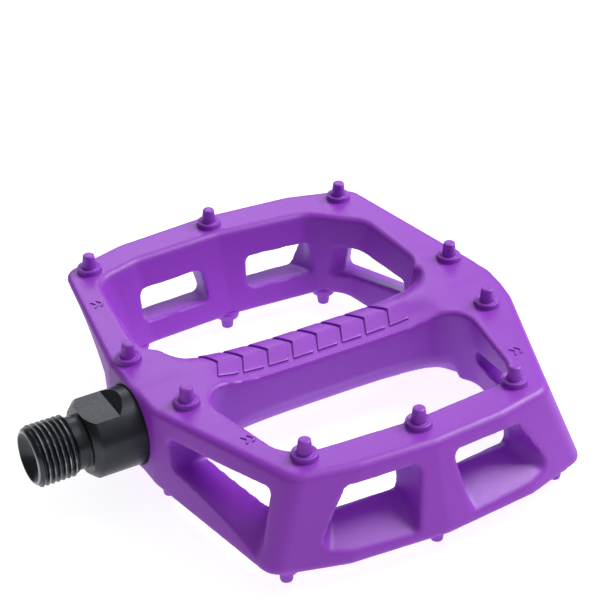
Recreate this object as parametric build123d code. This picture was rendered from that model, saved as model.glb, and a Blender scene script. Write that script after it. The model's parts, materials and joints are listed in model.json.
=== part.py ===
from build123d import *
import math
import os

os.makedirs("parts", exist_ok=True)

# Flat bicycle pedal with a one-piece moulded body, all sizes in millimetres.
# The origin is the centre of the axle shoulder that tightens against the crank.
# +X runs along the axle away from the crank, +Y is across the pedal, +Z is up.

# ---------------------------------------------------------------- axle
THREAD_RADIUS = 7.14          # 9/16 inch pedal thread, major diameter 14.29
THREAD_PITCH = 1.27           # 20 threads per inch
THREAD_DEPTH = 0.70
THREAD_CRESTS = 8
THREAD_END_X = -12.7          # free end of the axle, half an inch from the shoulder
FIRST_CREST_X = -3.6          # middle of the crest nearest to the shoulder
CREST_WIDTH = 0.36
RELIEF_RADIUS = 6.25          # plain neck between thread and shoulder
COLLAR_RADIUS = 9.3
COLLAR_LENGTH = 13.2
SEAL_LAND_RADIUS = 6.9         # polished land under the seal lip
SEAL_LAND_END_X = 16.2
WRENCH_FLATS = 15.0           # across the two spanner flats
FLAT_LENGTH = 7.6
FLAT_RAMP = 2.3
END_FACE_RADIUS = 5.95
HEX_ACROSS = 6.0              # hexagonal key socket in the threaded end
HEX_DEPTH = 7.0
MOUTH_RADIUS = 5.75           # wide countersink in front of the socket
MOUTH_DEPTH = 2.5
SHOULDER_RADIUS = 7.7         # flat of the shoulder, inside the chamfer of the collar
COLLAR_CHAMFER = 1.9
JOURNAL_RADIUS = 6.0          # runs in the inboard bush
JOURNAL_END_X = 31.0
TAPER_END_X = 84.0
TAPER_RADIUS = 4.2
BEARING_BORE_RADIUS = 3.0
BEARING_SHOULDER_X = 87.0
NUT_THREAD_RADIUS = 2.95
NUT_THREAD_START_X = 96.8
AXLE_TIP_X = 103.6

# ---------------------------------------------------------------- body
BODY_CENTRE_X = 60.5
HALF_THICKNESS = 10.5         # body without its pins
BARREL_RADIUS = 8.7           # round side of the axle housing
BARREL_FLANK_Y = 9.4          # flat side of the axle housing
BARREL_CORNER_Z = 8.0
BARREL_LENGTH = 64.0          # between the solid ends of the platform
BOSS_FACE_X = 12.6            # flat face of the body round the axle
BOSS_RADIUS = 10.45
CAP_FACE_X = 109.5            # outboard face of the body round the end cap
SEAL_SEAT_RADIUS = 9.7
SEAL_SEAT_END_X = 16.0
BUSH_SEAT_RADIUS = 7.5
BUSH_SEAT_END_X = 29.4
CORE_RADIUS = 6.6             # grease space between bush and bearings
BEARING_SEAT_RADIUS = 7.5
CAP_BORE_RADIUS = 7.8
CAP_BORE_START_X = 97.3

PIN_COLLAR_RADIUS = 3.0
PIN_COLLAR_HEIGHT = 1.25
PIN_FOOT_RADIUS = 1.75
PIN_TIP_RADIUS = 1.4
PIN_HEIGHT = 4.6

# ---------------------------------------------------------------- bearings
RING_WIDTH = 5.0              # 6 mm bore, 15 mm outside, 5 mm wide
BALL_RADIUS = 1.36
BALL_COUNT = 7
BALL_CIRCLE = 5.25
GROOVE_RADIUS = 1.39
INNER_LAND = 4.3
OUTER_LAND = 6.2
SHIELD_THICKNESS = 0.25
FIRST_BEARING_X = BEARING_SHOULDER_X + 0.1
LAST_BEARING_END_X = FIRST_BEARING_X + 2 * RING_WIDTH

WASHER_THICKNESS = 0.8
NUT_START_X = LAST_BEARING_END_X + WASHER_THICKNESS + 0.1
NUT_ACROSS = 10.0
NUT_HEX_HEIGHT = 3.4
NUT_HEIGHT = 5.2
NUT_RIM_RADIUS = 4.6
INSERT_RADIUS = 4.1


def polar(radius, angle):
    return radius * math.cos(angle), radius * math.sin(angle)


def rounded_loop(points, radii, place):
    """A closed wire through the points with an arc of the given radius at each one."""
    count = len(points)
    starts = []
    middles = []
    ends = []
    for i in range(count):
        corner = Vector(*points[i], 0)
        before = (Vector(*points[i - 1], 0) - corner).normalized()
        after = (Vector(*points[(i + 1) % count], 0) - corner).normalized()
        half_angle = before.get_angle(after) / 2
        tangent = radii[i] / math.tan(math.radians(half_angle))
        to_centre = (before + after).normalized()
        centre = corner + to_centre * (radii[i] / math.sin(math.radians(half_angle)))
        starts.append(place(corner + before * tangent))
        ends.append(place(corner + after * tangent))
        middles.append(place(centre - to_centre * radii[i]))
    edges = []
    for i in range(count):
        edges.append(Edge.make_three_point_arc(starts[i], middles[i], ends[i]))
        edges.append(Edge.make_line(ends[i], starts[(i + 1) % count]))
    return Wire(edges)


def at_height(z):
    return lambda p: Vector(p.X + BODY_CENTRE_X, p.Y, z)


def flipped(points):
    """The plan of the lower face is the plan of the upper face turned over about the axle."""
    return [(x, -y) for x, y in points]


def prism_between(lower, lower_radii, upper, upper_radii, z):
    low = rounded_loop(lower, lower_radii, at_height(-z))
    high = rounded_loop(upper, upper_radii, at_height(z))
    return Solid.make_loft([low, high], ruled=True)


def stretched(points_low, points_high, z):
    """Moves two matching plans apart along their own slopes, so that a cutter overshoots."""
    k = (z / HALF_THICKNESS - 1) / 2
    low = [(a[0] + (a[0] - b[0]) * k, a[1] + (a[1] - b[1]) * k) for a, b in zip(points_low, points_high)]
    high = [(b[0] + (b[0] - a[0]) * k, b[1] + (b[1] - a[1]) * k) for a, b in zip(points_low, points_high)]
    return low, high


# Upper plan of the platform, listed from the narrow side round to the wide side.
OUTLINE = [
    (-32.6, -47.6), (-18.0, -50.3), (0.0, -51.4), (18.0, -50.3), (32.6, -47.6),
    (47.5, -11.8), (49.0, -5.5), (49.0, 5.5), (47.95, 11.8),
    (41.2, 51.4), (24.0, 56.4), (0.0, 58.4), (-24.0, 56.4), (-41.2, 51.4),
    (-47.9, 11.0), (-47.9, -11.0),
]
OUTLINE_RADII = [5.5, 60, 60, 60, 5.5, 9, 9, 9, 9, 5.5, 60, 60, 60, 5.5, 9, 9]
PARTNER = [13 - i for i in range(14)] + [15, 14]   # corner of the lower plan below each upper one
WIDE_OPENING = [
    (-40.0, 9.2), (36.6, 9.2), (35.6, 35.0), (24.0, 45.8), (0.0, 48.6), (-23.0, 47.4), (-35.4, 43.8),
]
NARROW_OPENING = [
    (-36.5, -9.4), (34.5, -9.4), (29.8, -35.5), (25.0, -39.8), (0.0, -41.6), (-23.0, -40.2), (-30.2, -37.4),
]
OPENING_RADII = [7.0, 7.0, 7.0, 7.0, 60.0, 12.0, 7.0]

# Tread pins of the upper face; the lower face has the same ten turned over.
PIN_PLACES = [
    (-35.3, 48.4), (0.0, 53.2), (35.3, 48.4), (-43.6, 9.4), (43.6, 9.4),
    (-39.9, -12.3), (39.9, -12.3), (-27.0, -41.8), (27.0, -41.8), (0.0, -44.4),
]

# Each window is a funnel from a rounded quadrilateral on the outer face of its wall to a
# smaller one on the inner face: (x, z) in the long rails, (y, z) in the end walls.
RAIL_WINDOW_OUT = [(4.0, 6.9), (21.5, 6.9), (33.5, -8.6), (7.0, -8.4)]
RAIL_WINDOW_IN = [(5.4, 4.9), (24.2, 4.9), (23.8, -3.0), (6.4, -3.0)]
END_WINDOW_OUT = [(-14.5, 4.8), (-44.0, 6.5), (-45.5, -7.0), (-17.0, -2.2)]
END_WINDOW_IN = [(-15.5, 0.9), (-39.3, 5.7), (-39.8, -2.3), (-16.3, -2.5)]
WINDOW_RADIUS = 1.8
WINDOW_OVERSHOOT = 0.3        # of the wall's thickness, past the outer face
WINDOW_REACH = 1.0            # of the wall's thickness, past the inner face, for the thicker corners


def platform_hull():
    lower = flipped([OUTLINE[i] for i in PARTNER])
    hull = prism_between(lower, OUTLINE_RADII, OUTLINE, OUTLINE_RADII, HALF_THICKNESS)
    rims = hull.faces().sort_by(Axis.Z)
    return fillet(rims[0].edges() + rims[-1].edges(), 1.4)


def opening_cutter(own, other):
    low, high = stretched(flipped(other), own, HALF_THICKNESS + 1)
    return prism_between(low, OPENING_RADII, high, OPENING_RADII, HALF_THICKNESS + 1)


def barrel_section(length):
    """The axle housing: round, with two opposite edges squared out to flat flanks."""
    quarter = [(0, 0), (0, BARREL_RADIUS), (-BARREL_FLANK_Y, BARREL_CORNER_Z), (-BARREL_FLANK_Y, 0)]
    turned = [(-y, -z) for y, z in quarter]
    section = Circle(BARREL_RADIUS)
    for loop in (quarter, turned):
        section += make_face(Polyline(*loop, close=True))
    start = Plane(origin=(BODY_CENTRE_X - length / 2, 0, 0), x_dir=(0, 1, 0), z_dir=(1, 0, 0))
    return extrude(start * section, length)


def barrel_trim():
    block = Pos(BODY_CENTRE_X, 0, 0) * Box(BARREL_LENGTH, 2 * BARREL_FLANK_Y + 0.1, 2 * HALF_THICKNESS + 1)
    return block - barrel_section(BARREL_LENGTH + 2)


def rail_point(x, z, inward):
    """A point of the near rail: inward is 0 on its outer face and 1 on its inner face."""
    return Vector(x, -54.8 + 0.35 * z + 9.6 * inward, z)


def end_point(y, z, inward):
    """A point of the inboard end wall, whose faces lean and close in towards the rail."""
    outer = 42.2 - 0.24 * z + 0.29 * (y + 30)
    inner = 34.4 - 0.26 * z + 0.13 * (y + 30)
    return Vector(-(outer + (inner - outer) * inward), y, z)


def window_cutter(outer, inner, wall_point):
    loops = []
    for inward in (-WINDOW_OVERSHOOT, 1, 1 + WINDOW_REACH):
        taper = min(inward, 1)
        corners = [(a[0] + (b[0] - a[0]) * taper, a[1] + (b[1] - a[1]) * taper) for a, b in zip(outer, inner)]
        loops.append(rounded_loop(corners, [WINDOW_RADIUS] * 4, lambda p: wall_point(p.X, p.Y, inward)))
    return Solid.make_loft(loops, ruled=True)


def four_way(cutter):
    """One window repeated at both ends and on both sides of the platform."""
    pair = [cutter, mirror(cutter, about=Plane.YZ)]
    turned = [Rot(180, 0, 0) * piece for piece in pair]
    return [Pos(BODY_CENTRE_X, 0, 0) * piece for piece in pair + turned]


def tread_pin():
    profile = Polyline(
        (0, -0.8), (PIN_COLLAR_RADIUS, -0.8), (PIN_COLLAR_RADIUS, PIN_COLLAR_HEIGHT - 0.35),
        (PIN_COLLAR_RADIUS - 0.35, PIN_COLLAR_HEIGHT), (PIN_FOOT_RADIUS, PIN_COLLAR_HEIGHT),
        (PIN_TIP_RADIUS, PIN_HEIGHT - 0.3), (PIN_TIP_RADIUS - 0.3, PIN_HEIGHT), (0, PIN_HEIGHT), close=True)
    return revolve(Plane.XZ * make_face(profile), Axis.Z)


def all_pins():
    pin = tread_pin()
    upper = [Pos(x, y, HALF_THICKNESS) * pin for x, y in PIN_PLACES]
    lower = [Rot(180, 0, 0) * piece for piece in upper]
    return [Pos(BODY_CENTRE_X, 0, 0) * piece for piece in upper + lower]


def along_axle(profile_points):
    """A solid of revolution about the axle from (x, radius) points."""
    return revolve(make_face(Polyline(*profile_points, close=True)), Axis.X)


def axle_boss():
    """Round boss that closes the seal seat where the edge of the platform is rounded away."""
    return along_axle([
        (BOSS_FACE_X, 0), (BOSS_FACE_X, BOSS_RADIUS - 0.2), (BOSS_FACE_X + 0.2, BOSS_RADIUS),
        (BOSS_FACE_X + 6, BOSS_RADIUS), (BOSS_FACE_X + 6, 0)])


def body_bores():
    return along_axle([
        (8, 0), (8, SEAL_SEAT_RADIUS), (SEAL_SEAT_END_X, SEAL_SEAT_RADIUS),
        (SEAL_SEAT_END_X, BUSH_SEAT_RADIUS), (BUSH_SEAT_END_X, BUSH_SEAT_RADIUS),
        (BUSH_SEAT_END_X, CORE_RADIUS), (BEARING_SHOULDER_X + 0.1, CORE_RADIUS),
        (BEARING_SHOULDER_X + 0.1, BEARING_SEAT_RADIUS), (CAP_BORE_START_X + 0.2, BEARING_SEAT_RADIUS),
        (CAP_BORE_START_X + 0.2, CAP_BORE_RADIUS), (112, CAP_BORE_RADIUS), (112, 0)])


def pedal_body():
    body = platform_hull()
    body -= opening_cutter(WIDE_OPENING, NARROW_OPENING)
    body -= Rot(180, 0, 0) * opening_cutter(WIDE_OPENING, NARROW_OPENING)
    body -= barrel_trim()
    for cutter in four_way(window_cutter(RAIL_WINDOW_OUT, RAIL_WINDOW_IN, rail_point)):
        body -= cutter
    for cutter in four_way(window_cutter(END_WINDOW_OUT, END_WINDOW_IN, end_point)):
        body -= cutter
    for pin in all_pins():
        body += pin
    body += axle_boss()
    return body - body_bores()


def axle_blank():
    """Everything turned on the axle; the thread is drawn as one annular crest per pitch."""
    profile = [(THREAD_END_X, 0), (THREAD_END_X, END_FACE_RADIUS), (THREAD_END_X + 1.2, THREAD_RADIUS - THREAD_DEPTH)]
    root = THREAD_RADIUS - THREAD_DEPTH
    for i in range(THREAD_CRESTS):
        middle = FIRST_CREST_X - (THREAD_CRESTS - 1 - i) * THREAD_PITCH
        if middle - THREAD_PITCH / 2 > THREAD_END_X + 1.2:
            profile.append((middle - THREAD_PITCH / 2, root))
        profile.append((middle - CREST_WIDTH / 2, THREAD_RADIUS))
        profile.append((middle + CREST_WIDTH / 2, THREAD_RADIUS))
    profile += [
        (FIRST_CREST_X + THREAD_PITCH / 2, RELIEF_RADIUS), (-0.3, RELIEF_RADIUS), (0, RELIEF_RADIUS + 0.3),
        (0, SHOULDER_RADIUS), (COLLAR_CHAMFER, COLLAR_RADIUS), (COLLAR_LENGTH, COLLAR_RADIUS),
        (COLLAR_LENGTH, SEAL_LAND_RADIUS), (SEAL_LAND_END_X, SEAL_LAND_RADIUS), (SEAL_LAND_END_X, JOURNAL_RADIUS),
        (JOURNAL_END_X, JOURNAL_RADIUS), (TAPER_END_X, TAPER_RADIUS), (BEARING_SHOULDER_X, TAPER_RADIUS),
        (BEARING_SHOULDER_X, BEARING_BORE_RADIUS), (NUT_THREAD_START_X, BEARING_BORE_RADIUS),
        (NUT_THREAD_START_X + 0.2, NUT_THREAD_RADIUS), (AXLE_TIP_X - 0.6, NUT_THREAD_RADIUS),
        (AXLE_TIP_X, NUT_THREAD_RADIUS - 0.6), (AXLE_TIP_X, 0)]
    return along_axle(profile)


def wrench_flat():
    """Cutter for the upper spanner flat, with a sloping run-out towards the pedal body."""
    depth_z = WRENCH_FLATS / 2
    top_z = COLLAR_RADIUS + 1
    run_out = FLAT_LENGTH + FLAT_RAMP * (top_z - depth_z) / (COLLAR_RADIUS - depth_z)
    side = Polyline((-0.05, depth_z), (FLAT_LENGTH, depth_z), (run_out, top_z), (-0.05, top_z), close=True)
    return extrude(Plane.XZ * make_face(side), COLLAR_RADIUS + 1, both=True)


def pedal_axle():
    axle = axle_blank()
    axle -= wrench_flat()
    axle -= Rot(180, 0, 0) * wrench_flat()
    hexagon = RegularPolygon(HEX_ACROSS / 2, 6, major_radius=False)
    mouth = Plane(origin=(THREAD_END_X, 0, 0), x_dir=(0, 1, 0), z_dir=(1, 0, 0))
    axle -= extrude(mouth * hexagon, HEX_DEPTH)
    slope = (MOUTH_RADIUS - HEX_ACROSS / 2) / MOUTH_DEPTH
    return axle - along_axle([
        (THREAD_END_X - 0.5, 0), (THREAD_END_X - 0.5, MOUTH_RADIUS + 0.5 * slope),
        (THREAD_END_X + MOUTH_DEPTH, HEX_ACROSS / 2), (THREAD_END_X + MOUTH_DEPTH, 0)])


# Rubber lip seal: pressed in the body's seat, its lip just clear of the axle.
def inboard_seal():
    start = BOSS_FACE_X - 0.2
    return along_axle([
        (start, COLLAR_RADIUS + 0.12), (start, SEAL_SEAT_RADIUS), (15.6, SEAL_SEAT_RADIUS),
        (15.6, 8.4), (15.2, 7.4), (14.9, SEAL_LAND_RADIUS + 0.05), (14.6, SEAL_LAND_RADIUS + 0.05),
        (14.0, 8.0), (13.4, 8.0), (13.4, COLLAR_RADIUS + 0.12)])


def ring(start, length, inner, outer, edge=0.15):
    return along_axle([
        (start, inner), (start, outer - edge), (start + edge, outer),
        (start + length - edge, outer), (start + length, outer - edge), (start + length, inner)])


def bearing_ring(start, inner, outer):
    """A bearing ring with its ball groove still to be cut."""
    return ring(start, RING_WIDTH, inner, outer)


def ball_groove(start):
    middle = start + RING_WIDTH / 2
    section = Plane(origin=(middle, BALL_CIRCLE, 0), z_dir=(0, 0, 1)) * Circle(GROOVE_RADIUS)
    return revolve(section, Axis.X)


def shield_step(x):
    return along_axle([
        (x, OUTER_LAND - 0.5), (x, OUTER_LAND + 0.3),
        (x + SHIELD_THICKNESS, OUTER_LAND + 0.3), (x + SHIELD_THICKNESS, OUTER_LAND - 0.5)])


def shield_places(start):
    return start + 0.2, start + RING_WIDTH - 0.2 - SHIELD_THICKNESS


def outer_ring(start):
    body = bearing_ring(start, OUTER_LAND, BEARING_SEAT_RADIUS) - ball_groove(start)
    for x in shield_places(start):
        body -= shield_step(x)
    return body


def inner_ring(start):
    return bearing_ring(start, BEARING_BORE_RADIUS, INNER_LAND) - ball_groove(start)


def bearing_shield(x):
    return along_axle([
        (x, INNER_LAND + 0.08), (x, OUTER_LAND + 0.3),
        (x + SHIELD_THICKNESS, OUTER_LAND + 0.3), (x + SHIELD_THICKNESS, INNER_LAND + 0.08)])


def ball_places(start):
    for i in range(BALL_COUNT):
        y, z = polar(BALL_CIRCLE, 2 * math.pi * i / BALL_COUNT)
        yield start + RING_WIDTH / 2, y, z


def bearing_balls(start):
    return Compound([Pos(*place) * Sphere(BALL_RADIUS) for place in ball_places(start)])


def bearing_cage(start):
    """Moulded crown that spaces the balls, open to one side."""
    cage = along_axle([
        (start + 2.0, 4.95), (start + 2.0, 5.55), (start + 4.2, 5.55), (start + 4.2, 4.95)])
    for place in ball_places(start):
        cage -= Pos(*place) * Sphere(BALL_RADIUS + 0.06)
    return cage


def lock_washer():
    return ring(LAST_BEARING_END_X + 0.05, WASHER_THICKNESS, NUT_THREAD_RADIUS + 0.15, 4.8, 0.1)


def lock_nut():
    """Hexagon nut with a turned rim that holds the nylon insert."""
    start = NUT_START_X
    hex_end = start + NUT_HEX_HEIGHT
    end = start + NUT_HEIGHT
    corner = NUT_ACROSS / 2 / math.cos(math.pi / 6)
    face = Plane(origin=(start, 0, 0), x_dir=(0, 1, 0), z_dir=(1, 0, 0))
    nut = extrude(face * RegularPolygon(NUT_ACROSS / 2, 6, major_radius=False), NUT_HEX_HEIGHT)
    nut &= along_axle([
        (start, 0), (start, corner - 0.7), (start + 0.5, corner + 0.1), (hex_end - 0.5, corner + 0.1),
        (hex_end, corner - 0.7), (hex_end, 0)])
    nut += along_axle([
        (hex_end - 0.1, 0), (hex_end - 0.1, NUT_RIM_RADIUS), (end - 0.3, NUT_RIM_RADIUS),
        (end, NUT_RIM_RADIUS - 0.3), (end, 0)])
    nut -= along_axle([(start - 1, 0), (start - 1, NUT_THREAD_RADIUS), (end + 1, NUT_THREAD_RADIUS), (end + 1, 0)])
    return nut - along_axle([(hex_end, 0), (hex_end, INSERT_RADIUS), (end - 0.3, INSERT_RADIUS), (end - 0.3, 0)])


def nut_insert():
    start = NUT_START_X + NUT_HEX_HEIGHT
    end = NUT_START_X + NUT_HEIGHT - 0.3
    return along_axle([
        (start, NUT_THREAD_RADIUS), (start, INSERT_RADIUS), (end, INSERT_RADIUS), (end, NUT_THREAD_RADIUS)])


def end_cap():
    """Push-in plug with a shallow dish, a slot for a coin and a groove for its sealing ring."""
    face = CAP_FACE_X
    cap = along_axle([
        (face - 4.4, 0), (face - 4.4, CAP_BORE_RADIUS - 0.3), (face - 4.1, CAP_BORE_RADIUS),
        (face - 3.3, CAP_BORE_RADIUS), (face - 3.3, CAP_BORE_RADIUS - 0.9),
        (face - 2.1, CAP_BORE_RADIUS - 0.9), (face - 2.1, CAP_BORE_RADIUS),
        (face - 0.5, CAP_BORE_RADIUS), (face - 0.1, CAP_BORE_RADIUS - 0.4),
        (face - 0.1, 6.2), (face - 0.5, 5.8), (face - 0.5, 0)])
    return cap - Pos(face, 0, 0) * Box(2.4, 9.0, 1.3)


def cap_ring():
    middle = CAP_FACE_X - 2.7
    section = Plane(origin=(middle, CAP_BORE_RADIUS - 0.46, 0), z_dir=(0, 0, 1)) * Circle(0.44)
    return revolve(section, Axis.X)


def save(node, shape):
    export_step(shape, f"parts/{node}.step")


save("body", pedal_body())
save("axle", pedal_axle())
save("inboard_seal", inboard_seal())
save("bush_shell", ring(SEAL_SEAT_END_X + 1.0, 12.0, 6.55, BUSH_SEAT_RADIUS))
save("bush_liner", ring(SEAL_SEAT_END_X + 1.0, 12.0, JOURNAL_RADIUS + 0.03, 6.55, 0.1))
save("thrust_washer", ring(SEAL_LAND_END_X + 0.05, 0.7, JOURNAL_RADIUS + 0.05, BUSH_SEAT_RADIUS - 0.1, 0.1))
for number in (1, 2):
    start_x = FIRST_BEARING_X + (number - 1) * RING_WIDTH
    inboard_x, outboard_x = shield_places(start_x)
    save(f"bearing_{number}_outer_ring", outer_ring(start_x))
    save(f"bearing_{number}_inner_ring", inner_ring(start_x))
    save(f"bearing_{number}_balls", bearing_balls(start_x))
    save(f"bearing_{number}_cage", bearing_cage(start_x))
    save(f"bearing_{number}_inboard_shield", bearing_shield(inboard_x))
    save(f"bearing_{number}_outboard_shield", bearing_shield(outboard_x))
save("lock_washer", lock_washer())
save("lock_nut", lock_nut())
save("nut_insert", nut_insert())
save("end_cap", end_cap())
save("end_cap_ring", cap_ring())
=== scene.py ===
import json
import math

import bpy
import numpy as np
from mathutils import Matrix, Vector


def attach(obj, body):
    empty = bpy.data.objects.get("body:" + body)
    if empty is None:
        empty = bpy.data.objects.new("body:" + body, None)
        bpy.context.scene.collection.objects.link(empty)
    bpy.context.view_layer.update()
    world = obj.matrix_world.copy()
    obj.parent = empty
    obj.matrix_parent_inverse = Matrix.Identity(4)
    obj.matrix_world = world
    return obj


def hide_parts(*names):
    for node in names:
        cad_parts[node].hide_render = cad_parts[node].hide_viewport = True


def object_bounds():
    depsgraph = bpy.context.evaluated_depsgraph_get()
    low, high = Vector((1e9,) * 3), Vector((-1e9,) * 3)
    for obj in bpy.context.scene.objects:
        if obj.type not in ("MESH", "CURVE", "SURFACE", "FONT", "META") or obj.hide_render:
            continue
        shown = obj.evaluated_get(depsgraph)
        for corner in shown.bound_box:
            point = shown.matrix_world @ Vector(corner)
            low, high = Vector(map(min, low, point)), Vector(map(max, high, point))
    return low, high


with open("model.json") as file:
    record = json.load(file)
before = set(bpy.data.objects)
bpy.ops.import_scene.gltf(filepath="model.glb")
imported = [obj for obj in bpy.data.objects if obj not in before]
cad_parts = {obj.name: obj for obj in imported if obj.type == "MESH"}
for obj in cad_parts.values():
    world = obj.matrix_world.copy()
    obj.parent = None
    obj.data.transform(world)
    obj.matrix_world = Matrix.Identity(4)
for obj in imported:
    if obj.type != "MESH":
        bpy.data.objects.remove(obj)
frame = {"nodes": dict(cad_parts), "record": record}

CAD_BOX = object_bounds()

# Sizes are millimetres until a mesh is made.  The moulded body is described in its own axes:
# x along the axle from the middle of the platform, y across it, z up.
# The axle is described from its crank shoulder, as the CAD model is.
MM = 0.001
BODY_CENTRE_X = 60.5
HALF = 10.5                   # half the thickness of the platform without pins

# ------------------------------------------------------------------ platform plan
# Upper plan, from the narrow side round to the wide side; the lower plan is turned over.
OUTLINE = [
    (-32.6, -47.6), (-18.0, -50.3), (0.0, -51.4), (18.0, -50.3), (32.6, -47.6),
    (47.5, -11.8), (49.0, -5.5), (49.0, 5.5), (47.95, 11.8),
    (41.2, 51.4), (24.0, 56.4), (0.0, 58.4), (-24.0, 56.4), (-41.2, 51.4),
    (-47.9, 11.0), (-47.9, -11.0),
]
OUTLINE_PARTNER = [13 - i for i in range(14)] + [15, 14]   # corner of the lower plan below each upper one
OUTLINE_ROUND = 5.5
WIDE_GAP = [
    (-40.0, 9.2), (36.6, 9.2), (35.6, 35.0), (24.0, 45.8), (0.0, 48.6), (-23.0, 47.4), (-35.4, 43.8),
]
NARROW_GAP = [                # corner by corner the partner of the wide gap
    (-36.5, -9.4), (34.5, -9.4), (29.8, -35.5), (25.0, -39.8), (0.0, -41.6), (-23.0, -40.2), (-30.2, -37.4),
]
GAP_ROUND = 7.0
RIM_ROUND = 1.5               # outer edge of the treads
GAP_RIM_ROUND = 1.3           # their inner edge, round both gaps

# ------------------------------------------------------------------ axle housing
BARREL_RADIUS = 8.7
BARREL_SECTION = [(0.0, 0.0), (0.0, 8.6), (-9.4, 7.9), (-9.4, -1.2)]
BARREL_SWELL = 0.8            # the housing thickens towards both ends
RIDGE_SWELL = 0.7             # and a little more on its squared-out side
BARREL_SWELL_AT = 27.0        # distance from the middle where the swell is reached
BARREL_SWELL_LIMIT = 1.1      # of that distance, beyond which it grows no more
RIDGE_PRODUCT = 25.0          # y times z where the ridge's swell is half gone
RIDGE_FADE = 8.0
BARREL_END_X = 36.5           # here the housing reaches the tread faces
BARREL_BLEND = 9.0
BARREL_TRIM_Y = 11.0          # beyond this the platform keeps its full thickness
BARREL_TRIM_BLEND = 3.0
BARREL_EDGE = 0.8
BOSS_RADIUS = 10.45
BOSS_INBOARD_X = -47.9
BOSS_OUTBOARD_X = 49.0
BOSS_START_X = 36.0           # hidden in the solid ends of the platform
BOSS_EDGE = 0.5
BOSS_BLEND = 0.6

# The near rail's outer face leans, and so do both faces of the end walls, which also close in
# towards the narrow rail: (distance at z = 0, lean with z, closing with y), taken at END_FACE_Y.
RAIL_FACE_Y = -54.8
RAIL_LEAN = 0.35
RAIL_WALL = 9.6
END_FACE_OUT = (42.2, 0.24, 0.29)
END_FACE_IN = (34.4, 0.26, 0.13)
END_FACE_Y = -30.0
END_WALL = 7.8
END_WALL_LEAST = 3.0

# Each window is a funnel from a quadrilateral on the outer face of its wall to one on the
# inner face: (x, z) in the long rails, (y, z) in the end walls.
RAIL_WINDOW_OUT = [(4.0, 6.9), (21.5, 6.9), (33.5, -8.6), (7.0, -8.4)]
RAIL_WINDOW_IN = [(5.4, 4.9), (24.2, 4.9), (23.8, -3.0), (6.4, -3.0)]
END_WINDOW_OUT = [(-14.5, 4.8), (-44.0, 6.5), (-45.5, -7.0), (-17.0, -2.2)]
END_WINDOW_IN = [(-15.5, 0.9), (-39.3, 5.7), (-39.8, -2.3), (-16.3, -2.5)]
WINDOW_ROUND = 1.8
WINDOW_EDGE = 0.7
WINDOW_OVERSHOOT = 0.5        # of the wall's thickness, past the outer face
WINDOW_REACH = 1.0            # of the wall's thickness, past the inner face, for the thicker corners

# ------------------------------------------------------------------ tread pins
PIN_PLACES = [
    (-35.3, 48.4), (0.0, 53.2), (35.3, 48.4), (-43.6, 9.4), (43.6, 9.4),
    (-39.9, -12.3), (39.9, -12.3), (-27.0, -41.8), (27.0, -41.8), (0.0, -44.4),
]
PIN_PROFILE = [               # (height, radius) from below the tread up to the tip
    (-0.8, 0.0), (-0.8, 3.0), (-0.1, 3.25), (0.08, 3.06), (0.25, 3.0), (1.05, 2.96), (1.22, 2.88),
    (1.3, 2.72), (1.28, 2.5), (1.12, 2.2), (1.06, 1.95), (1.14, 1.82), (1.4, 1.74), (2.9, 1.58),
    (4.2, 1.43), (4.4, 1.37), (4.54, 1.2), (4.6, 0.95), (4.6, 0.0),
]

# ------------------------------------------------------------------ raised pattern
CHEVRON_COUNT = 8             # plain raised chevrons along the top of the axle housing
CHEVRON_PITCH = 6.5
CHEVRON_WIDTH = 5.2
CHEVRON_LEAN = 2.4
CHEVRON_Y = (-6.3, 3.6)
CHEVRON_MIDDLE_X = -2.3
CHEVRON_RAISE = 0.5
MARK_PLACES = [(-39.8, 33.8), (-34.2, -30.6), (34.8, -32.0)]   # small mould marks
MARK_SPREAD = 0.75            # each mark is two small chevrons
MARK_HALF_LENGTH = 1.3
MARK_WIDTH = 0.7
MARK_LEAN = 0.9
MARK_RAISE = 0.25
PATTERN_ROOT = 0.8            # how deep the raised shapes reach into the body
PATTERN_EDGE = 0.13           # how far their edges are softened down

# ------------------------------------------------------------------ mesh of the body
BODY_LOW = (-49.7, -60.1, -12.0)
BODY_HIGH = (50.9, 60.1, 12.0)
BODY_STEP = 0.62

# ------------------------------------------------------------------ bores of the body
BORES = [                     # (row x, radius) as in the CAD model
    (8.0, 0.0), (8.0, 9.7), (16.0, 9.7), (16.0, 7.5), (29.4, 7.5), (29.4, 6.6), (87.1, 6.6),
    (87.1, 7.5), (97.5, 7.5), (97.5, 7.8), (112.0, 7.8), (112.0, 0.0),
]

# ------------------------------------------------------------------ axle
THREAD_RADIUS = 7.14          # 9/16 inch by 20 threads per inch, right-hand
THREAD_PITCH = 1.27
THREAD_DEPTH = 0.72
THREAD_CREST = 0.17
THREAD_FIRST_X = -3.45        # last full crest before the neck
THREAD_END_X = -12.7
NECK_RADIUS = 6.2
AXLE_RINGS_PER_PITCH = 12
AXLE_SEGMENTS = 144
AXLE_NOSE = [                 # the most that the radius may be near the free end
    (-12.7, 5.95), (-12.62, 6.1), (-12.3, 6.42), (-11.9, 6.8), (-11.5, 7.14),
]
AXLE_SHANK = [                # from the neck to the outboard tip
    (-0.45, 6.2), (-0.2, 6.26), (0.0, 6.5), (0.0, 7.7), (0.08, 7.84), (1.45, 9.14), (1.65, 9.26),
    (1.9, 9.3), (12.9, 9.3), (13.2, 9.0), (13.2, 6.9), (16.2, 6.9), (16.2, 6.0), (31.0, 6.0),
    (84.0, 4.2), (87.0, 4.2), (87.0, 3.0), (97.0, 3.0), (97.1, 2.95), (103.0, 2.95), (103.6, 2.35),
    (103.6, 0.0),
]
FLAT_HEIGHT = 7.5             # spanner flats, 15 mm apart
FLAT_END_X = 7.6
RAMP_END_X = 9.9
HEX_ACROSS = 6.0
HEX_DEPTH = 7.0
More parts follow.
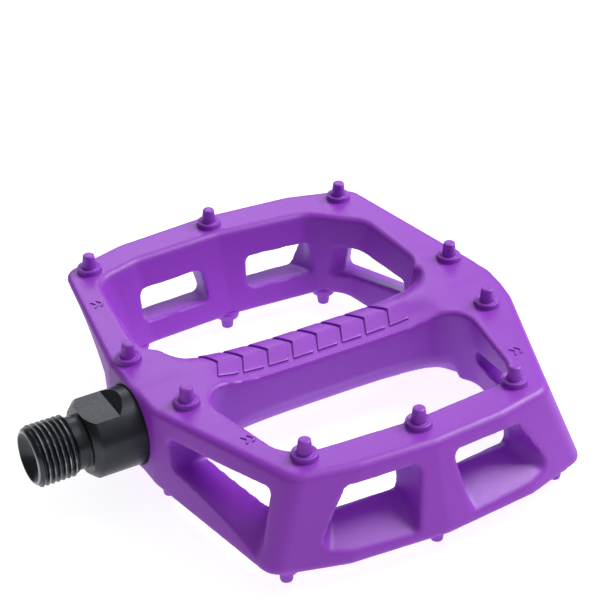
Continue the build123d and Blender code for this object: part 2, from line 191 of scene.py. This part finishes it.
SOCKET_MOUTH = [              # wide concave countersink in front of the socket
    (-13.7, 0.0), (-13.7, 6.6), (-12.7, 5.75), (-12.2, 5.3), (-11.5, 4.6), (-10.8, 3.8), (-10.2, 3.0),
    (-10.2, 0.0),
]


# ------------------------------------------------------------------ distance fields
def area(points):
    """Signed area of a polygon, positive when it runs anticlockwise."""
    x, y = points[:, 0], points[:, 1]
    return 0.5 * float(np.sum(x * np.roll(y, -1) - y * np.roll(x, -1)))


def inset(polygon, amount):
    """The convex polygon, in its own order, with every side moved inwards."""
    points = np.array(polygon, float)
    if area(points) < 0:
        return inset(points[::-1], amount)[::-1]
    result = []
    for i in range(len(points)):
        a, b, c = points[i - 1], points[i], points[(i + 1) % len(points)]
        u = (b - a) / np.linalg.norm(b - a)
        v = (c - b) / np.linalg.norm(c - b)
        normal_u = np.array((-u[1], u[0]))
        normal_v = np.array((-v[1], v[0]))
        result.append(b + (normal_u + normal_v) * amount / (1 + normal_u @ normal_v))
    return np.array(result)


def polygon_field(u, v, first, second, mix, rounding):
    """Signed distance to a rounded convex polygon that changes from first to second with mix."""
    one = inset(first, rounding)
    two = inset(second, rounding)
    if area(one) < 0:
        one, two = one[::-1], two[::-1]
    nearest = np.full(u.shape, 1e9)
    inside = np.full(u.shape, -1e9)
    for i in range(len(one)):
        j = (i + 1) % len(one)
        ax = one[i, 0] + (two[i, 0] - one[i, 0]) * mix
        ay = one[i, 1] + (two[i, 1] - one[i, 1]) * mix
        ex = one[j, 0] + (two[j, 0] - one[j, 0]) * mix - ax
        ey = one[j, 1] + (two[j, 1] - one[j, 1]) * mix - ay
        px = u - ax
        py = v - ay
        squared = ex * ex + ey * ey
        along = np.clip((px * ex + py * ey) / squared, 0, 1)
        nearest = np.minimum(nearest, (px - ex * along) ** 2 + (py - ey * along) ** 2)
        inside = np.maximum(inside, (px * ey - py * ex) / np.sqrt(squared))
    return np.where(inside < 0, -1, 1) * np.sqrt(nearest) - rounding


def rounded_max(a, b, r):
    """Where both fields are inside, with the edge between them rounded to radius r."""
    outside = np.hypot(np.maximum(a + r, 0), np.maximum(b + r, 0))
    return outside + np.minimum(np.maximum(a, b) + r, 0) - r


def smooth_min(a, b, k):
    """Where either field is inside, with a soft blend of width k between them."""
    h = np.maximum(k - np.abs(a - b), 0) / k
    return np.minimum(a, b) - h * h * k / 4


def smooth_max(a, b, k):
    """Where both fields are inside, with a soft blend of width k between them."""
    return -smooth_min(-a, -b, k)


def turned_over(plan):
    """The lower plan is the upper one turned over about the axle."""
    return [(x, -y) for x, y in plan]


def plate_field(x, y, z):
    """The platform at its full thickness, with its two through gaps."""
    mix = (z + HALF) / (2 * HALF)
    below = turned_over([OUTLINE[i] for i in OUTLINE_PARTNER])
    outer = polygon_field(x, y, below, OUTLINE, mix, OUTLINE_ROUND)
    plate = rounded_max(outer, np.abs(z) - HALF, RIM_ROUND)
    wide = polygon_field(x, y, turned_over(NARROW_GAP), WIDE_GAP, mix, GAP_ROUND)
    narrow = polygon_field(x, y, turned_over(WIDE_GAP), NARROW_GAP, mix, GAP_ROUND)
    return rounded_max(plate, -np.minimum(wide, narrow), GAP_RIM_ROUND)


def barrel_field(x, y, z):
    """The axle housing: round, with two opposite edges squared out to flat flanks."""
    field = np.hypot(y, z) - BARREL_RADIUS
    for side in (1, -1):
        corner = polygon_field(side * y, side * z, BARREL_SECTION, BARREL_SECTION, 0.0, 0.9)
        field = smooth_min(field, corner, 1.2)
    swell = BARREL_SWELL + RIDGE_SWELL / (1 + np.exp((y * z - RIDGE_PRODUCT) / RIDGE_FADE))
    return field - swell * np.minimum(np.abs(x) / BARREL_SWELL_AT, BARREL_SWELL_LIMIT) ** 4


def boss_field(x, y, z):
    """Round end faces of the housing, where the seal and the end cap sit."""
    ends = np.maximum(BOSS_INBOARD_X - x, x - BOSS_OUTBOARD_X)
    boss = rounded_max(np.hypot(y, z) - BOSS_RADIUS, ends, BOSS_EDGE)
    return np.maximum(boss, BOSS_START_X - np.abs(x))


def window_field(across, up, inward, outer, inner, thickness):
    """A window's cutter: inward is 0 on the outer face of the wall and 1 on the inner face."""
    taper = np.clip(inward, -WINDOW_OVERSHOOT, 1)
    field = polygon_field(across, up, outer, inner, taper, WINDOW_ROUND)
    beyond = np.maximum(-WINDOW_OVERSHOOT - inward, inward - 1 - WINDOW_REACH)
    return np.maximum(field, beyond * thickness)


def rail_window(x, y, z):
    inward = (y - RAIL_FACE_Y - RAIL_LEAN * z) / RAIL_WALL
    return window_field(np.abs(x), z, inward, RAIL_WINDOW_OUT, RAIL_WINDOW_IN, RAIL_WALL)


def end_face(face, y, z):
    """Distance of an end wall's face from the middle of the platform."""
    at, lean, closing = face
    return at - lean * z + closing * (y - END_FACE_Y)


def end_window(x, y, z):
    outer = end_face(END_FACE_OUT, y, z)
    inner = end_face(END_FACE_IN, y, z)
    inward = (outer - np.abs(x)) / np.maximum(outer - inner, END_WALL_LEAST)
    return window_field(y, z, inward, END_WINDOW_OUT, END_WINDOW_IN, END_WALL)


def body_field(x, y, z):
    """The whole moulding without its pins, pattern and bores."""
    kept = smooth_min(barrel_field(x, y, z), BARREL_END_X - np.abs(x), BARREL_BLEND)
    kept = smooth_min(kept, BARREL_TRIM_Y - np.abs(y), BARREL_TRIM_BLEND)
    body = rounded_max(plate_field(x, y, z), kept, BARREL_EDGE)
    body = smooth_min(body, boss_field(x, y, z), BOSS_BLEND)
    for turn in (1, -1):
        body = smooth_max(body, -rail_window(x, turn * y, turn * z), WINDOW_EDGE)
        body = smooth_max(body, -end_window(x, turn * y, turn * z), WINDOW_EDGE)
    return body


# ------------------------------------------------------------------ field to mesh
def surface_net(field, low, step):
    """Quads around the zero level of a field sampled on a grid."""
    inside = field < 0
    corners = [(i, j, k) for i in (0, 1) for j in (0, 1) for k in (0, 1)]
    shape = tuple(n - 1 for n in field.shape)

    def shifted(grid, c):
        return grid[c[0]:c[0] + shape[0], c[1]:c[1] + shape[1], c[2]:c[2] + shape[2]]

    total = sum(shifted(inside, c).astype(np.int8) for c in corners)
    mixed = (total > 0) & (total < 8)
    cells = np.argwhere(mixed)
    number = np.full(shape, -1, np.int64)
    number[mixed] = np.arange(len(cells))
    summed = np.zeros((len(cells), 3))
    crossings = np.zeros(len(cells))
    for c in corners:
        for axis in range(3):
            if c[axis]:
                continue
            d = tuple(1 if a == axis else c[a] for a in range(3))
            f0 = shifted(field, c)[mixed]
            f1 = shifted(field, d)[mixed]
            cut = (f0 < 0) != (f1 < 0)
            part = np.where(cut, f0 / np.where(cut, f0 - f1, 1), 0)
            point = np.tile(np.array(c, float), (len(cells), 1))
            point[:, axis] += part
            summed += point * cut[:, None]
            crossings += cut
    vertices = (cells + summed / crossings[:, None]) * step + low
    quads = []
    for axis in range(3):
        b, c = (axis + 1) % 3, (axis + 2) % 3
        first = [slice(None)] * 3
        second = [slice(None)] * 3
        first[axis] = slice(0, -1)
        second[axis] = slice(1, None)
        low_side = inside[tuple(first)]
        high_side = inside[tuple(second)]
        change = np.argwhere(low_side != high_side)
        leaving = low_side[tuple(change.T)]
        around = []
        for back_b, back_c in ((1, 1), (0, 1), (0, 0), (1, 0)):
            cell = change.copy()
            cell[:, b] -= back_b
            cell[:, c] -= back_c
            around.append(number[tuple(cell.T)])
        quad = np.stack(around, 1)
        quad[~leaving] = quad[~leaving][:, ::-1]
        quads.append(quad)
    return vertices, np.concatenate(quads)


def gradient(points, field, delta=0.02):
    result = np.empty_like(points)
    for axis in range(3):
        ahead = points.copy()
        behind = points.copy()
        ahead[:, axis] += delta
        behind[:, axis] -= delta
        result[:, axis] = (field(*ahead.T) - field(*behind.T)) / (2 * delta)
    return result


def settle(points, field, rounds):
    """Moves points on to the zero level of the field."""
    for _ in range(rounds):
        slope = gradient(points, field)
        value = field(*points.T)
        length = np.maximum(np.sum(slope * slope, 1), 0.05)
        points = points - slope * np.clip(value / length, -0.4, 0.4)[:, None]
    return points


def relax(points, quads, field, rounds):
    """Evens out the mesh along the surface."""
    for _ in range(rounds):
        total = np.zeros_like(points)
        count = np.zeros(len(points))
        for i in range(4):
            a, b = quads[:, i], quads[:, (i + 1) % 4]
            for axis in range(3):
                total[:, axis] += np.bincount(a, points[b, axis], len(points))
                total[:, axis] += np.bincount(b, points[a, axis], len(points))
            count += np.bincount(a, minlength=len(points)) + np.bincount(b, minlength=len(points))
        move = total / count[:, None] - points
        slope = gradient(points, field)
        slope /= np.linalg.norm(slope, axis=1)[:, None] + 1e-9
        move -= slope * np.sum(move * slope, 1)[:, None]
        points = settle(points + 0.6 * move, field, 1)
    return points


def body_surface():
    """Points and quads of the body, sampled slice by slice and then settled on the surface."""
    low = np.array(BODY_LOW)
    high = np.array(BODY_HIGH)
    sizes = np.ceil((high - low) / BODY_STEP).astype(int) + 1
    axes = [low[a] + np.arange(sizes[a]) * BODY_STEP for a in range(3)]
    field = np.empty(tuple(sizes))
    y, z = np.meshgrid(axes[1], axes[2], indexing="ij")
    for i, x in enumerate(axes[0]):
        field[i] = body_field(np.full(y.shape, x), y, z)
    points, quads = surface_net(field, low, BODY_STEP)
    points = settle(points, body_field, 2)
    points = relax(points, quads, body_field, 3)
    points = settle(points, body_field, 1)
    return points, quads.tolist()


# ------------------------------------------------------------------ closed shapes
# A shape is an array of points and a list of faces that all look outwards.
def turned(profile, segments):
    """A solid of revolution about x from (along, radius) pairs; a radius may be an array."""
    angles = np.arange(segments) * 2 * math.pi / segments
    points = []
    faces = []
    rings = []
    for along, radius in profile:
        start = len(points)
        if np.ndim(radius) == 0 and radius <= 0:
            rings.append([start])
            points.append((along, 0.0, 0.0))
            continue
        rings.append(list(range(start, start + segments)))
        spread = np.broadcast_to(radius, (segments,))
        points.extend(zip(np.full(segments, along), spread * np.cos(angles), spread * np.sin(angles)))
    for one, two in zip(rings, rings[1:]):
        for i in range(segments):
            j = (i + 1) % segments
            if len(one) == 1:
                faces.append((one[0], two[j], two[i]))
            elif len(two) == 1:
                faces.append((one[i], one[j], two[0]))
            else:
                faces.append((one[i], one[j], two[j], two[i]))
    return np.array(points, float), faces


def upright(shape):
    """A shape turned about x, stood up along z."""
    points, faces = shape
    return points[:, [1, 2, 0]], faces


def moved(shape, shift):
    return shape[0] + np.array(shift, float), shape[1]


def turned_shape(shape):
    """Half a turn about the axle, for what repeats on the other tread face."""
    return shape[0] * np.array((1.0, -1.0, -1.0)), shape[1]


def gathered(shapes):
    points = []
    faces = []
    count = 0
    for more_points, more_faces in shapes:
        points.append(more_points)
        faces.extend(tuple(i + count for i in face) for face in more_faces)
        count += len(more_points)
    return np.concatenate(points), faces


def slab(x, y, top, bottom):
    """A closed pad over a grid of places, from its bottom heights to its top heights."""
    rows, columns = x.shape
    points = np.concatenate([
        np.stack([x, y, top], -1).reshape(-1, 3), np.stack([x, y, bottom], -1).reshape(-1, 3)])
    lower = rows * columns

    def place(i, j):
        return i * columns + j

    faces = []
    for i in range(rows - 1):
        for j in range(columns - 1):
            quad = (place(i, j), place(i + 1, j), place(i + 1, j + 1), place(i, j + 1))
            faces.append(quad)
            faces.append(tuple(lower + k for k in quad[::-1]))
    last_row = rows - 1
    last_column = columns - 1
    edge = [place(i, 0) for i in range(last_row)]
    edge += [place(last_row, j) for j in range(last_column)]
    edge += [place(i, last_column) for i in range(last_row, 0, -1)]
    edge += [place(0, j) for j in range(last_column, 0, -1)]
    for a, b in zip(edge, edge[1:] + edge[:1]):
        faces.append((a, lower + a, lower + b, b))
    return points, faces


def mesh_object(name, shape, shift):
    mesh = bpy.data.meshes.new(name)
    place = (shape[0] + np.array(shift, float)) * MM
    mesh.from_pydata(place.tolist(), [], shape[1])
    mesh.validate()
    mesh.update()
    piece = bpy.data.objects.new(name, mesh)
    bpy.context.scene.collection.objects.link(piece)
    return piece


def combine(piece, shape, shift, operation):
    """Union or difference of the piece with a closed shape."""
    tool = mesh_object("tool", shape, shift)
    modifier = piece.modifiers.new(operation, "BOOLEAN")
    modifier.operation = operation
    modifier.solver = "MANIFOLD"
    modifier.object = tool
    graph = bpy.context.evaluated_depsgraph_get()
    mesh = bpy.data.meshes.new_from_object(piece.evaluated_get(graph))
    piece.modifiers.clear()
    old = piece.data
    piece.data = mesh
    mesh.name = piece.name
    bpy.data.meshes.remove(old)
    spent = tool.data
    bpy.data.objects.remove(tool)
    bpy.data.meshes.remove(spent)


def smoothed(piece, sharp_angle):
    mesh = piece.data
    mesh.polygons.foreach_set("use_smooth", [True] * len(mesh.polygons))
    mesh.set_sharp_from_angle(angle=math.radians(sharp_angle))
    mesh.update()


# ------------------------------------------------------------------ body pieces
def surface_height(x, y):
    """Height of the moulded surface above each place, found by halving."""
    low = np.full(x.shape, 3.0)
    high = np.full(x.shape, 12.0)
    for _ in range(24):
        middle = (low + high) / 2
        inside = body_field(x, y, middle) < 0
        low = np.where(inside, middle, low)
        high = np.where(inside, high, middle)
    return low


def chevron(x, y_range, width, lean, height):
    """A raised chevron that follows the surface under it, with a softened edge."""
    s = np.array((0.0, 0.03, 0.25, 0.5, 0.75, 0.97, 1.0))
    t = np.array((0.0, 0.02, 0.1, 0.2, 0.3, 0.4, 0.47, 0.5, 0.53, 0.6, 0.7, 0.8, 0.9, 0.98, 1.0))
    across, along = np.meshgrid(s, t, indexing="ij")
    px = x + (across - 0.5) * width + lean * (0.5 - 2 * np.abs(along - 0.5))
    py = y_range[0] + along * (y_range[1] - y_range[0])
    surface = surface_height(px, py)
    edge = (across == 0) | (across == 1) | (along == 0) | (along == 1)
    return slab(px, py, surface + height - np.where(edge, PATTERN_EDGE, 0.0), surface - PATTERN_ROOT)


def raised_pattern():
    shapes = []
    for i in range(CHEVRON_COUNT):
        x = CHEVRON_MIDDLE_X + (i - (CHEVRON_COUNT - 1) / 2) * CHEVRON_PITCH
        shapes.append(chevron(x, CHEVRON_Y, CHEVRON_WIDTH, CHEVRON_LEAN, CHEVRON_RAISE))
    for x, y in MARK_PLACES:
        ends = (y - MARK_HALF_LENGTH, y + MARK_HALF_LENGTH)
        for shift in (-MARK_SPREAD, MARK_SPREAD):
            shapes.append(chevron(x + shift, ends, MARK_WIDTH, MARK_LEAN, MARK_RAISE))
    return gathered(shapes + [turned_shape(shape) for shape in shapes])


def tread_pins():
    pin = upright(turned(PIN_PROFILE, 48))
    upper = [moved(pin, (x, y, HALF)) for x, y in PIN_PLACES]
    return gathered(upper + [turned_shape(shape) for shape in upper])


def pedal_body():
    to_row = (BODY_CENTRE_X, 0, 0)
    body = mesh_object("pedal_body", body_surface(), to_row)
    combine(body, raised_pattern(), to_row, "UNION")
    combine(body, tread_pins(), to_row, "UNION")
    combine(body, turned(BORES, 96), (0, 0, 0), "DIFFERENCE")
    smoothed(body, 32)
    return body


# ------------------------------------------------------------------ axle piece
def thread_radius(x, angles):
    """Radius of the right-hand helix at a place along the axle, for every angle."""
    crest = THREAD_FIRST_X + THREAD_PITCH * angles / (2 * math.pi)
    away = np.abs((x - crest + THREAD_PITCH / 2) % THREAD_PITCH - THREAD_PITCH / 2)
    slope = math.tan(math.radians(60))
    cut = np.clip((away - THREAD_CREST / 2) * slope, 0, THREAD_DEPTH)
    return THREAD_RADIUS - cut


def axle_profile():
    """Rings of the thread, each with its own radius all the way round, and then the plain shank."""
    angles = np.arange(AXLE_SEGMENTS) * 2 * math.pi / AXLE_SEGMENTS
    nose_x = [x for x, _ in AXLE_NOSE]
    nose_radius = [radius for _, radius in AXLE_NOSE]
    step = THREAD_PITCH / AXLE_RINGS_PER_PITCH
    profile = [(THREAD_END_X, 0.0)]
    x = THREAD_END_X
    while x < -0.6:
        limit = np.interp(x, nose_x, nose_radius)
        run_out = np.interp(x, (-3.3, -2.75), (THREAD_RADIUS, NECK_RADIUS))
        ring = np.minimum(np.minimum(thread_radius(x, angles), limit), run_out)
        profile.append((x, np.maximum(ring, 0)))
        x += step
    return profile + AXLE_SHANK


def spanner_flat():
    """Cutter for the upper flat, with the sloping run-out of the milling tool."""
    rise = (FLAT_END_X, RAMP_END_X)
    top = 10.5
    reach = rise[0] + (rise[1] - rise[0]) * (top - FLAT_HEIGHT) / (9.3 - FLAT_HEIGHT)
    side = [(-0.05, FLAT_HEIGHT), (rise[0], FLAT_HEIGHT), (reach, top), (-0.05, top)]
    points = [(x, y, z) for y in (-10.5, 10.5) for x, z in side]
    faces = [(0, 1, 2, 3), (7, 6, 5, 4)]
    for i in range(4):
        j = (i + 1) % 4
        faces.append((j, i, i + 4, j + 4))
    return np.array(points), faces


def hexagon_socket():
    radius = HEX_ACROSS / 2 / math.cos(math.pi / 6)
    start = THREAD_END_X - 1
    end = THREAD_END_X + HEX_DEPTH
    return turned([(start, 0.0), (start, radius), (end, radius), (end + 1.5, 0.0)], 6)


def axle_piece():
    axle = mesh_object("pedal_axle", turned(axle_profile(), AXLE_SEGMENTS), (0, 0, 0))
    combine(axle, spanner_flat(), (0, 0, 0), "DIFFERENCE")
    combine(axle, turned_shape(spanner_flat()), (0, 0, 0), "DIFFERENCE")
    combine(axle, turned(SOCKET_MOUTH, AXLE_SEGMENTS), (0, 0, 0), "DIFFERENCE")
    combine(axle, hexagon_socket(), (0, 0, 0), "DIFFERENCE")
    smoothed(axle, 28)
    return axle


# ------------------------------------------------------------------ materials
def principled(name, colour, roughness, metallic=0.0):
    material = bpy.data.materials.new(name)
    material.use_nodes = True
    shader = material.node_tree.nodes["Principled BSDF"]
    shader.inputs["Base Color"].default_value = (*colour, 1)
    shader.inputs["Roughness"].default_value = roughness
    shader.inputs["Metallic"].default_value = metallic
    return material, material.node_tree, shader


def math_node(tree, operation, first, second=None):
    """One arithmetic node; each input is a socket or a number."""
    node = tree.nodes.new("ShaderNodeMath")
    node.operation = operation
    for socket, value in zip(node.inputs, (first, second)):
        if value is None:
            continue
        if isinstance(value, (int, float)):
            socket.default_value = value
        else:
            tree.links.new(value, socket)
    return node.outputs[0]


def ramp(tree, value, low, high, to_low=0.0, to_high=1.0):
    node = tree.nodes.new("ShaderNodeMapRange")
    node.interpolation_type = "SMOOTHSTEP"
    tree.links.new(value, node.inputs["Value"])
    node.inputs["From Min"].default_value = low
    node.inputs["From Max"].default_value = high
    node.inputs["To Min"].default_value = to_low
    node.inputs["To Max"].default_value = to_high
    return node.outputs["Result"]


def noise(tree, coordinates, scale, detail=3.0, roughness=0.5):
    node = tree.nodes.new("ShaderNodeTexNoise")
    tree.links.new(coordinates, node.inputs["Vector"])
    node.inputs["Scale"].default_value = scale
    node.inputs["Detail"].default_value = detail
    node.inputs["Roughness"].default_value = roughness
    return node.outputs["Fac"]


def blend_colour(tree, amount, first, second):
    """Mixes two colours; each one is a tuple or a socket."""
    node = tree.nodes.new("ShaderNodeMix")
    node.data_type = "RGBA"
    tree.links.new(amount, node.inputs[0])
    for socket, value in ((node.inputs[6], first), (node.inputs[7], second)):
        if isinstance(value, tuple):
            socket.default_value = (*value, 1)
        else:
            tree.links.new(value, socket)
    return node.outputs[2]


def bump(tree, height, distance, normal=None):
    node = tree.nodes.new("ShaderNodeBump")
    node.inputs["Distance"].default_value = distance
    tree.links.new(height, node.inputs["Height"])
    if normal is not None:
        tree.links.new(normal, node.inputs["Normal"])
    return node.outputs["Normal"]


def places(tree):
    """Object coordinates in metres, whole and as x, y and z, and the surface's own normal."""
    source = tree.nodes.new("ShaderNodeTexCoord")
    parts = tree.nodes.new("ShaderNodeSeparateXYZ")
    tree.links.new(source.outputs["Object"], parts.inputs[0])
    return source.outputs["Object"], parts.outputs, source.outputs["Normal"]


def shaded(colour, amount):
    return tuple(channel * amount for channel in colour)


def plain_finish(name, colour, roughness, metallic, grain, depth):
    """A surface with fine grain, slight mottling and uneven gloss."""
    material, tree, shader = principled(name, colour, roughness, metallic)
    where, _, _ = places(tree)
    broad = noise(tree, where, 180, 4)
    fine = noise(tree, where, grain, 5, 0.6)
    mottled = blend_colour(tree, broad, shaded(colour, 0.82), shaded(colour, 1.15))
    gloss = ramp(tree, fine, 0.3, 0.7, roughness - 0.06, roughness + 0.08)
    tree.links.new(mottled, shader.inputs["Base Color"])
    tree.links.new(gloss, shader.inputs["Roughness"])
    tree.links.new(bump(tree, fine, depth), shader.inputs["Normal"])
    return material


def moulded_nylon():
    """Purple glass-filled nylon: satin treads, and flared sides with a spark-eroded grain."""
    colour = (0.28, 0.034, 0.53)
    material, tree, shader = principled("purple_nylon", colour, 0.42)
    shader.inputs["IOR"].default_value = 1.5
    where, _, normal = places(tree)
    lean = tree.nodes.new("ShaderNodeSeparateXYZ")
    tree.links.new(normal, lean.inputs[0])
    level = math_node(tree, "ABSOLUTE", lean.outputs[2])
    side = ramp(tree, level, 0.9, 0.55)
    cloud = noise(tree, where, 55, 3)
    fibre = noise(tree, where, 1500, 4, 0.65)
    grain = noise(tree, where, 3800, 3, 0.6)
    tint = blend_colour(tree, cloud, shaded(colour, 0.93), shaded(colour, 1.06))
    speck = ramp(tree, fibre, 0.66, 0.8, 0.0, 0.22)
    tree.links.new(blend_colour(tree, speck, tint, (0.46, 0.16, 0.72)), shader.inputs["Base Color"])
    satin = ramp(tree, fibre, 0.3, 0.7, 0.36, 0.46)
    gloss = math_node(tree, "ADD", satin, math_node(tree, "MULTIPLY", side, 0.1))
    tree.links.new(gloss, shader.inputs["Roughness"])
    weight = math_node(tree, "ADD", math_node(tree, "MULTIPLY", side, 0.8), 0.22)
    texture = math_node(tree, "ADD", grain, math_node(tree, "MULTIPLY", fibre, 0.8))
    height = math_node(tree, "MULTIPLY", texture, weight)
    tree.links.new(bump(tree, height, 0.00006), shader.inputs["Normal"])
    return material


def black_axle_steel():
    """Black oxide over turned steel, with painted highlights along the thread crests and the end rim."""
    colour = (0.042, 0.046, 0.053)
    # colour of the painted highlight on the thread crests and the end rim
    highlight_colour = (0.36, 0.38, 0.42)
    material, tree, shader = principled("black_oxide_steel", colour, 0.34, 0.92)
    where, parts, _ = places(tree)
    y_squared = math_node(tree, "POWER", parts[1], 2.0)
    z_squared = math_node(tree, "POWER", parts[2], 2.0)
    squares = math_node(tree, "ADD", y_squared, z_squared)
    radius = math_node(tree, "SQRT", squares)
    on_crest = ramp(tree, radius, 0.00700, 0.00713)
    on_thread = ramp(tree, parts[0], -0.0024, -0.0030)
    at_end = ramp(tree, parts[0], -0.01235, -0.0126)
    on_rim = math_node(tree, "MULTIPLY", at_end, ramp(tree, radius, 0.0056, 0.0058))
    patchy = ramp(tree, noise(tree, where, 420, 3), 0.38, 0.62, 0.25, 1.0)
    # painted highlight: lighter steel painted in patches on the thread crests and round the rim of the free
    # end
    painted_highlight = math_node(tree, "MULTIPLY", math_node(tree, "MULTIPLY", on_crest, on_thread), patchy)
    painted_highlight = math_node(tree, "MAXIMUM", painted_highlight, math_node(tree, "MULTIPLY", on_rim, 0.7))
    cloud = noise(tree, where, 160, 4)
    oxide = blend_colour(tree, cloud, shaded(colour, 0.75), shaded(colour, 1.3))
    tree.links.new(blend_colour(tree, painted_highlight, oxide, highlight_colour), shader.inputs["Base Color"])
    fine = noise(tree, where, 2600, 4, 0.6)
    tree.links.new(ramp(tree, fine, 0.3, 0.7, 0.28, 0.42), shader.inputs["Roughness"])
    lines = tree.nodes.new("ShaderNodeCombineXYZ")
    tree.links.new(parts[0], lines.inputs[0])
    turning = noise(tree, lines.outputs[0], 9000, 2)
    height = math_node(tree, "ADD", math_node(tree, "MULTIPLY", turning, 0.5), fine)
    tree.links.new(bump(tree, height, 0.000012), shader.inputs["Normal"])
    return material


def slot_finishes():
    """One finish for each material slot of the record."""
    return {
        "moulded_nylon": moulded_nylon(),
        "axle_steel": black_axle_steel(),
        "seal_rubber": plain_finish("nitrile_rubber", (0.014, 0.014, 0.016), 0.62, 0.0, 2400, 0.00003),
        "bush_bronze": plain_finish("sintered_bronze", (0.46, 0.33, 0.17), 0.42, 1.0, 5200, 0.00002),
        "bush_liner_polymer": plain_finish("bush_liner", (0.10, 0.095, 0.09), 0.5, 0.0, 4200, 0.00001),
        "bearing_steel": plain_finish("bearing_steel", (0.62, 0.63, 0.65), 0.16, 1.0, 6000, 0.000003),
        "cage_polymer": plain_finish("natural_nylon", (0.66, 0.58, 0.40), 0.5, 0.0, 3000, 0.00001),
        "shield_rubber": plain_finish("shield_rubber", (0.018, 0.018, 0.02), 0.55, 0.0, 2600, 0.00002),
        "zinc_steel": plain_finish("zinc_plate", (0.58, 0.59, 0.6), 0.3, 1.0, 3600, 0.000006),
        "insert_nylon": plain_finish("blue_nylon", (0.04, 0.13, 0.42), 0.45, 0.0, 3000, 0.00001),
        "cap_plastic": plain_finish("black_plastic", (0.018, 0.018, 0.02), 0.48, 0.0, 2800, 0.00003),
    }


def dress(piece, material):
    piece.data.materials.clear()
    piece.data.materials.append(material)


# ------------------------------------------------------------------ studio
CAMERA_LENS = 116.69
CAMERA_AZIMUTH = -30.405      # degrees about z, from the narrow side
CAMERA_ELEVATION = 34.837
CAMERA_ROLL = -0.14
CAMERA_DISTANCE = 0.45922     # metres from the middle of the platform
CAMERA_AIM = (1.11, 8.91, 12.33)
FLOOR_SIZE = 3.0              # metres, half a side
FLOOR_BELOW = 0.0002


def camera():
    """The camera looks down across the inboard end from the narrow side."""
    data = bpy.data.cameras.new("camera")
    data.lens = CAMERA_LENS
    data.sensor_width = 36
    data.clip_start = 0.01
    data.clip_end = 20
    piece = bpy.data.objects.new("camera", data)
    bpy.context.scene.collection.objects.link(piece)
    azimuth = math.radians(CAMERA_AZIMUTH)
    elevation = math.radians(CAMERA_ELEVATION)
    level = math.cos(elevation)
    back = Vector((math.sin(azimuth) * level, -math.cos(azimuth) * level, math.sin(elevation)))
    middle = Vector((BODY_CENTRE_X, 0, 0)) * MM
    place = middle + back * CAMERA_DISTANCE
    aim = middle + Vector(CAMERA_AIM) * MM
    turn = (aim - place).to_track_quat("-Z", "Y")
    roll = Matrix.Rotation(math.radians(CAMERA_ROLL), 4, "Z")
    piece.matrix_world = Matrix.Translation(place) @ turn.to_matrix().to_4x4() @ roll
    bpy.context.scene.camera = piece


def area_light(name, place, size, power):
    data = bpy.data.lights.new(name, "AREA")
    data.shape = "RECTANGLE"
    data.size, data.size_y = size
    data.energy = power
    piece = bpy.data.objects.new(name, data)
    bpy.context.scene.collection.objects.link(piece)
    piece.location = place
    piece.rotation_mode = "QUATERNION"
    middle = Vector((BODY_CENTRE_X, 0, 0)) * MM
    piece.rotation_quaternion = (middle - Vector(place)).to_track_quat("-Z", "Y")


def sky():
    """White light from above, stronger from the outboard side, that fades towards the horizon."""
    world = bpy.data.worlds.new("studio")
    bpy.context.scene.world = world
    world.use_nodes = True
    tree = world.node_tree
    background = tree.nodes["Background"]
    background.inputs["Color"].default_value = (1, 1, 1, 1)
    source = tree.nodes.new("ShaderNodeTexCoord")
    parts = tree.nodes.new("ShaderNodeSeparateXYZ")
    tree.links.new(source.outputs["Generated"], parts.inputs[0])
    overhead = ramp(tree, parts.outputs[2], 0.0, 0.9, 0.12, 0.62)
    outboard = ramp(tree, parts.outputs[0], -0.9, 0.9, 0.45, 1.25)
    tree.links.new(math_node(tree, "MULTIPLY", overhead, outboard), background.inputs["Strength"])


def floor():
    """A pale floor just under the lower pins."""
    size = FLOOR_SIZE
    height = CAD_BOX[0][2] - FLOOR_BELOW
    mesh = bpy.data.meshes.new("floor")
    corners = [(-size, -size, height), (size, -size, height), (size, size, height), (-size, size, height)]
    mesh.from_pydata(corners, [], [(0, 1, 2, 3)])
    piece = bpy.data.objects.new("floor", mesh)
    bpy.context.scene.collection.objects.link(piece)
    material, _, shader = principled("floor", (0.45, 0.45, 0.45), 0.9)
    shader.inputs["Emission Color"].default_value = (1, 1, 1, 1)
    shader.inputs["Emission Strength"].default_value = 0.86
    shader.inputs["Specular IOR Level"].default_value = 0.0
    dress(piece, material)


def studio():
    sky()
    floor()
    area_light("key", (0.55, -0.05, 0.6), (0.35, 0.35), 5.0)
    area_light("rim", (0.3, 0.7, 0.5), (0.5, 0.3), 1.5)
    bpy.context.scene.view_settings.view_transform = "Standard"


# ------------------------------------------------------------------ assembly
camera()
studio()

body = pedal_body()
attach(body, "platform_unit")
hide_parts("body")

axle = axle_piece()
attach(axle, "axle_unit")
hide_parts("axle")

finishes = slot_finishes()
dress(body, finishes["moulded_nylon"])
dress(axle, finishes["axle_steel"])
for part in frame["record"]["subparts"]:
    dress(frame["nodes"][part["node"]], finishes[part["material_slot"]])
